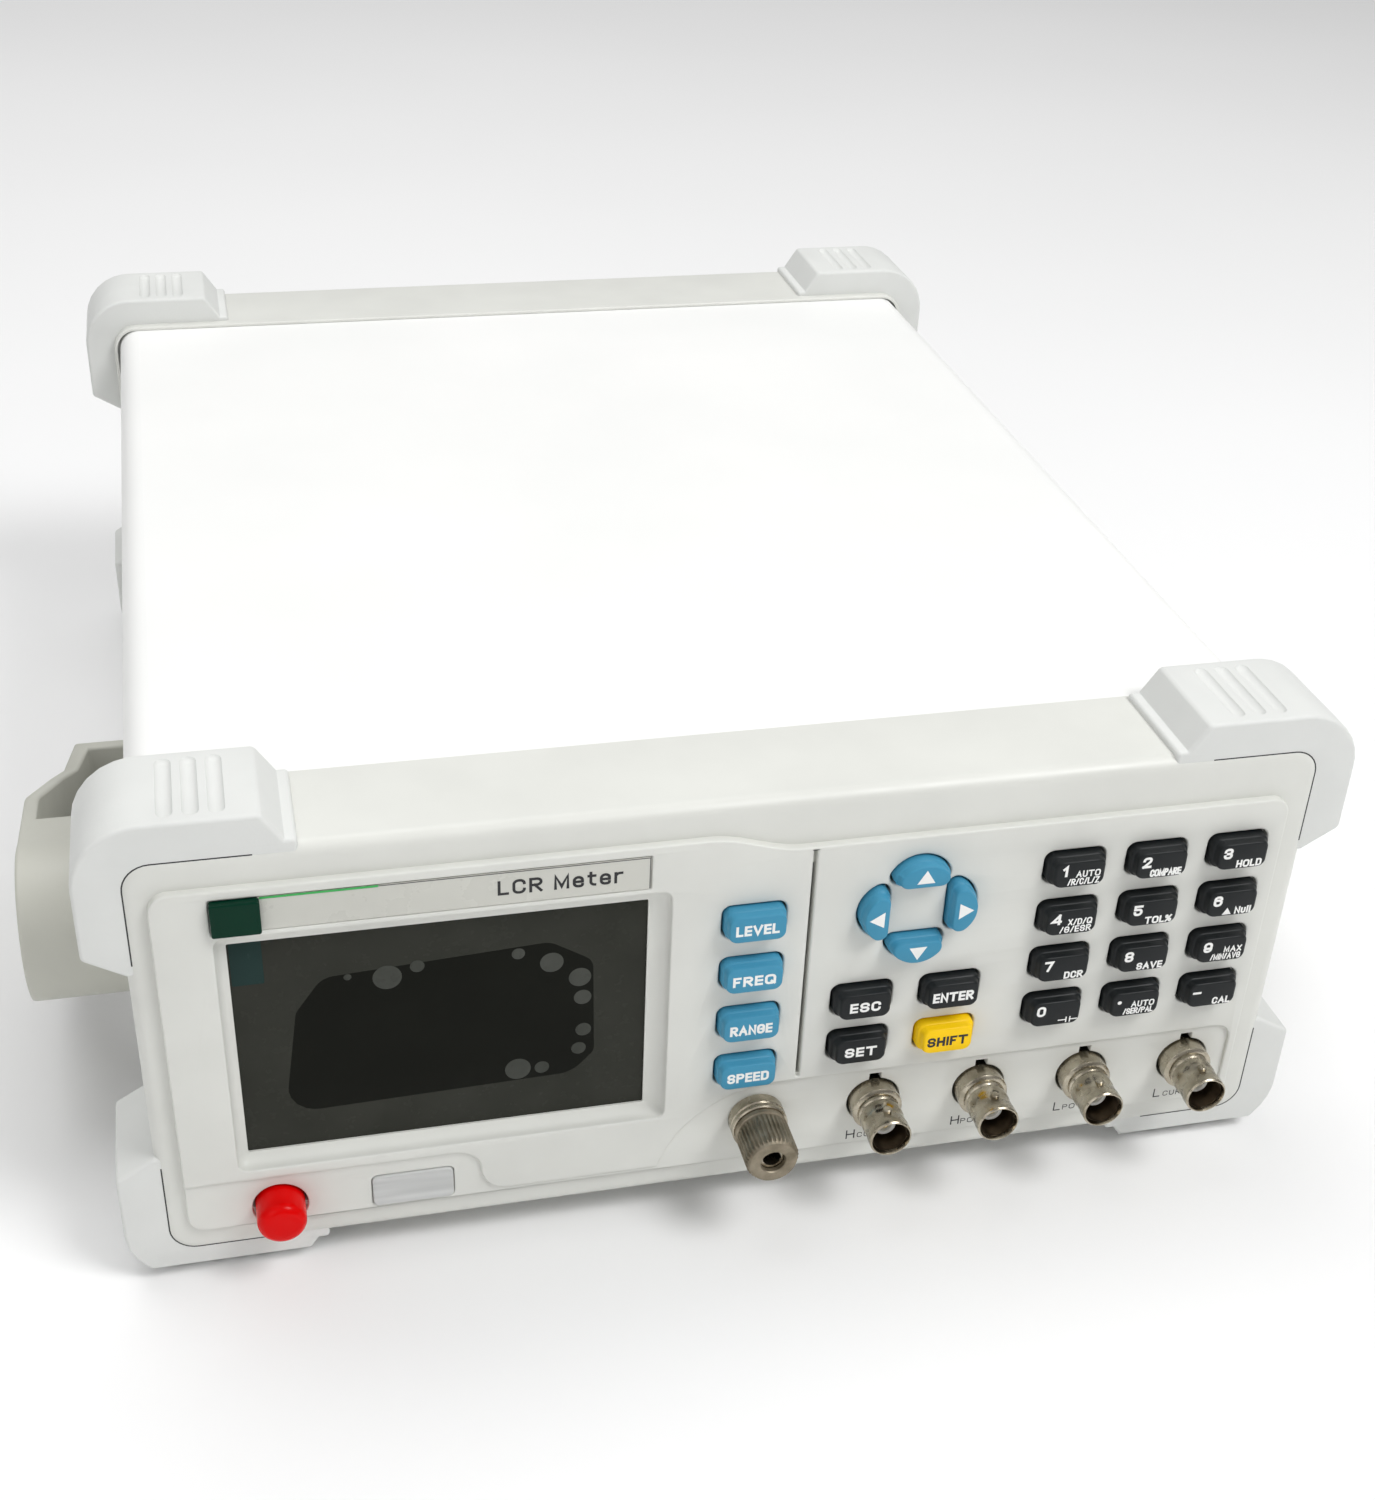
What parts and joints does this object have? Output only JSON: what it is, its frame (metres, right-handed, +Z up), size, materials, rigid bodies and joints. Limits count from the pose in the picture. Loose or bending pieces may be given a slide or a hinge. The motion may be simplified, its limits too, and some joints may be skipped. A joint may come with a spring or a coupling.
{
  "type": "bench lcr meter",
  "caption": "Bench LCR meter: half-rack case with corner bumpers, display, keypad, four-terminal bayonet sockets, ground post and tilt stand.",
  "frame": {"origin": "under the middle of the instrument's bounding box, on the plane that its feet stand on", "axes": "+X to the instrument's right as seen from the front, +Y from the front panel to the rear, +Z up"},
  "size_m": [0.306, 0.34, 0.118],
  "materials": {
    "case_plastic": "fine moulded texture",
    "cover_paint": "fine powder coat",
    "panel_paint": "fine powder coat",
    "screen_glass": "gloss, under a protective film",
    "label_film": "satin film",
    "green_plastic": "gloss",
    "frosted_plastic": "frosted, translucent",
    "blue_silicone": "satin",
    "dark_silicone": "satin",
    "yellow_silicone": "satin",
    "red_plastic": "gloss",
    "black_plastic": "fine moulded texture",
    "white_plastic": "smooth",
    "nickel": "satin nickel plate",
    "gold_contact": "plated",
    "circuit_board": "solder mask",
    "transformer_steel": "lacquered laminations",
    "stand_plastic": "fine moulded texture",
    "bumper_rubber": "soft matt"
  },
  "bodies": {
    "case": {"front_bezel": "case_plastic", "rear_bezel": "case_plastic", "top_cover": "cover_paint", "bottom_tray": "cover_paint", "rear_panel": "panel_paint", "lcd_window": "screen_glass", "lcd_module": "black_plastic", "label_strip": "label_film", "corner_badge": "green_plastic", "status_window": "frosted_plastic", "keypad_board": "circuit_board", "power_switch": "black_plastic", "bnc_shells": "nickel", "bnc_insulators": "white_plastic", "bnc_contacts": "gold_contact", "ground_post": "nickel", "mains_inlet": "black_plastic", "inlet_pins": "nickel", "voltage_selector": "black_plastic", "serial_port": "nickel", "usb_socket": "nickel", "main_board": "circuit_board", "mains_transformer": "transformer_steel", "pivot_bolts": "nickel", "front_top_bumpers": "bumper_rubber", "front_bottom_bumpers": "bumper_rubber", "rear_bumpers": "bumper_rubber", "cover_screws": "nickel"},
    "key_level": {"key_level": "blue_silicone"},
    "key_freq": {"key_freq": "blue_silicone"},
    "key_range": {"key_range": "blue_silicone"},
    "key_speed": {"key_speed": "blue_silicone"},
    "key_up": {"key_up": "blue_silicone"},
    "key_down": {"key_down": "blue_silicone"},
    "key_left": {"key_left": "blue_silicone"},
    "key_right": {"key_right": "blue_silicone"},
    "key_esc": {"key_esc": "dark_silicone"},
    "key_set": {"key_set": "dark_silicone"},
    "key_enter": {"key_enter": "dark_silicone"},
    "key_shift": {"key_shift": "yellow_silicone"},
    "key_1": {"key_1": "dark_silicone"},
    "key_2": {"key_2": "dark_silicone"},
    "key_3": {"key_3": "dark_silicone"},
    "key_4": {"key_4": "dark_silicone"},
    "key_5": {"key_5": "dark_silicone"},
    "key_6": {"key_6": "dark_silicone"},
    "key_7": {"key_7": "dark_silicone"},
    "key_8": {"key_8": "dark_silicone"},
    "key_9": {"key_9": "dark_silicone"},
    "key_0": {"key_0": "dark_silicone"},
    "key_point": {"key_point": "dark_silicone"},
    "key_minus": {"key_minus": "dark_silicone"},
    "power_button": {"power_button": "red_plastic"},
    "clamp_ring": {"clamp_ring": "nickel"},
    "ground_knob": {"ground_knob": "nickel"},
    "fuse_drawer": {"fuse_drawer": "black_plastic"},
    "voltage_slider": {"voltage_slider": "red_plastic"},
    "tilt_stand": {"tilt_arm_left": "stand_plastic", "tilt_arm_right": "stand_plastic", "tilt_bar": "stand_plastic"}
  },
  "joints": [
    {"name": "key_level_press", "type": "slide", "parent": "case", "child": "key_level", "axis": [0, 1, 0], "range_m": [0, 0.0015], "stiffness_N_per_m": 300, "springref_m": -0.0005},
    {"name": "key_freq_press", "type": "slide", "parent": "case", "child": "key_freq", "axis": [0, 1, 0], "range_m": [0, 0.0015], "stiffness_N_per_m": 300, "springref_m": -0.0005},
    {"name": "key_range_press", "type": "slide", "parent": "case", "child": "key_range", "axis": [0, 1, 0], "range_m": [0, 0.0015], "stiffness_N_per_m": 300, "springref_m": -0.0005},
    {"name": "key_speed_press", "type": "slide", "parent": "case", "child": "key_speed", "axis": [0, 1, 0], "range_m": [0, 0.0015], "stiffness_N_per_m": 300, "springref_m": -0.0005},
    {"name": "key_up_press", "type": "slide", "parent": "case", "child": "key_up", "axis": [0, 1, 0], "range_m": [0, 0.0015], "stiffness_N_per_m": 300, "springref_m": -0.0005},
    {"name": "key_down_press", "type": "slide", "parent": "case", "child": "key_down", "axis": [0, 1, 0], "range_m": [0, 0.0015], "stiffness_N_per_m": 300, "springref_m": -0.0005},
    {"name": "key_left_press", "type": "slide", "parent": "case", "child": "key_left", "axis": [0, 1, 0], "range_m": [0, 0.0015], "stiffness_N_per_m": 300, "springref_m": -0.0005},
    {"name": "key_right_press", "type": "slide", "parent": "case", "child": "key_right", "axis": [0, 1, 0], "range_m": [0, 0.0015], "stiffness_N_per_m": 300, "springref_m": -0.0005},
    {"name": "key_esc_press", "type": "slide", "parent": "case", "child": "key_esc", "axis": [0, 1, 0], "range_m": [0, 0.0015], "stiffness_N_per_m": 300, "springref_m": -0.0005},
    {"name": "key_set_press", "type": "slide", "parent": "case", "child": "key_set", "axis": [0, 1, 0], "range_m": [0, 0.0015], "stiffness_N_per_m": 300, "springref_m": -0.0005},
    {"name": "key_enter_press", "type": "slide", "parent": "case", "child": "key_enter", "axis": [0, 1, 0], "range_m": [0, 0.0015], "stiffness_N_per_m": 300, "springref_m": -0.0005},
    {"name": "key_shift_press", "type": "slide", "parent": "case", "child": "key_shift", "axis": [0, 1, 0], "range_m": [0, 0.0015], "stiffness_N_per_m": 300, "springref_m": -0.0005},
    {"name": "key_1_press", "type": "slide", "parent": "case", "child": "key_1", "axis": [0, 1, 0], "range_m": [0, 0.0015], "stiffness_N_per_m": 300, "springref_m": -0.0005},
    {"name": "key_2_press", "type": "slide", "parent": "case", "child": "key_2", "axis": [0, 1, 0], "range_m": [0, 0.0015], "stiffness_N_per_m": 300, "springref_m": -0.0005},
    {"name": "key_3_press", "type": "slide", "parent": "case", "child": "key_3", "axis": [0, 1, 0], "range_m": [0, 0.0015], "stiffness_N_per_m": 300, "springref_m": -0.0005},
    {"name": "key_4_press", "type": "slide", "parent": "case", "child": "key_4", "axis": [0, 1, 0], "range_m": [0, 0.0015], "stiffness_N_per_m": 300, "springref_m": -0.0005},
    {"name": "key_5_press", "type": "slide", "parent": "case", "child": "key_5", "axis": [0, 1, 0], "range_m": [0, 0.0015], "stiffness_N_per_m": 300, "springref_m": -0.0005},
    {"name": "key_6_press", "type": "slide", "parent": "case", "child": "key_6", "axis": [0, 1, 0], "range_m": [0, 0.0015], "stiffness_N_per_m": 300, "springref_m": -0.0005},
    {"name": "key_7_press", "type": "slide", "parent": "case", "child": "key_7", "axis": [0, 1, 0], "range_m": [0, 0.0015], "stiffness_N_per_m": 300, "springref_m": -0.0005},
    {"name": "key_8_press", "type": "slide", "parent": "case", "child": "key_8", "axis": [0, 1, 0], "range_m": [0, 0.0015], "stiffness_N_per_m": 300, "springref_m": -0.0005},
    {"name": "key_9_press", "type": "slide", "parent": "case", "child": "key_9", "axis": [0, 1, 0], "range_m": [0, 0.0015], "stiffness_N_per_m": 300, "springref_m": -0.0005},
    {"name": "key_0_press", "type": "slide", "parent": "case", "child": "key_0", "axis": [0, 1, 0], "range_m": [0, 0.0015], "stiffness_N_per_m": 300, "springref_m": -0.0005},
    {"name": "key_point_press", "type": "slide", "parent": "case", "child": "key_point", "axis": [0, 1, 0], "range_m": [0, 0.0015], "stiffness_N_per_m": 300, "springref_m": -0.0005},
    {"name": "key_minus_press", "type": "slide", "parent": "case", "child": "key_minus", "axis": [0, 1, 0], "range_m": [0, 0.0015], "stiffness_N_per_m": 300, "springref_m": -0.0005},
    {"name": "power_button_press", "type": "slide", "parent": "case", "child": "power_button", "axis": [0, 1, 0], "range_m": [0, 0.003], "stiffness_N_per_m": 400, "springref_m": -0.001},
    {"name": "ground_clamp_slide", "type": "slide", "parent": "case", "child": "clamp_ring", "axis": [0, -1, 0], "range_m": [0, 0.00212]},
    {"name": "ground_knob_turn", "type": "hinge", "parent": "clamp_ring", "child": "ground_knob", "pos_m": [0.0035, -0.165, 0.027], "axis": [0, -1, 0], "range_deg": [0, 1080]},
    {"name": "fuse_drawer_slide", "type": "slide", "parent": "case", "child": "fuse_drawer", "axis": [0, 1, 0], "range_m": [0, 0.02]},
    {"name": "voltage_slider_shift", "type": "slide", "parent": "case", "child": "voltage_slider", "axis": [0, 0, 1], "range_m": [0, 0.008]},
    {"name": "tilt_stand_hinge", "type": "hinge", "parent": "case", "child": "tilt_stand", "pos_m": [0, -0.082, 0.0495], "axis": [-1, 0, 0], "range_deg": [0, 80]}
  ],
  "couplings": [
    {"joint": "ground_clamp_slide", "follows": "ground_knob_turn", "m_per_rad": 0.00011141}
  ]
}
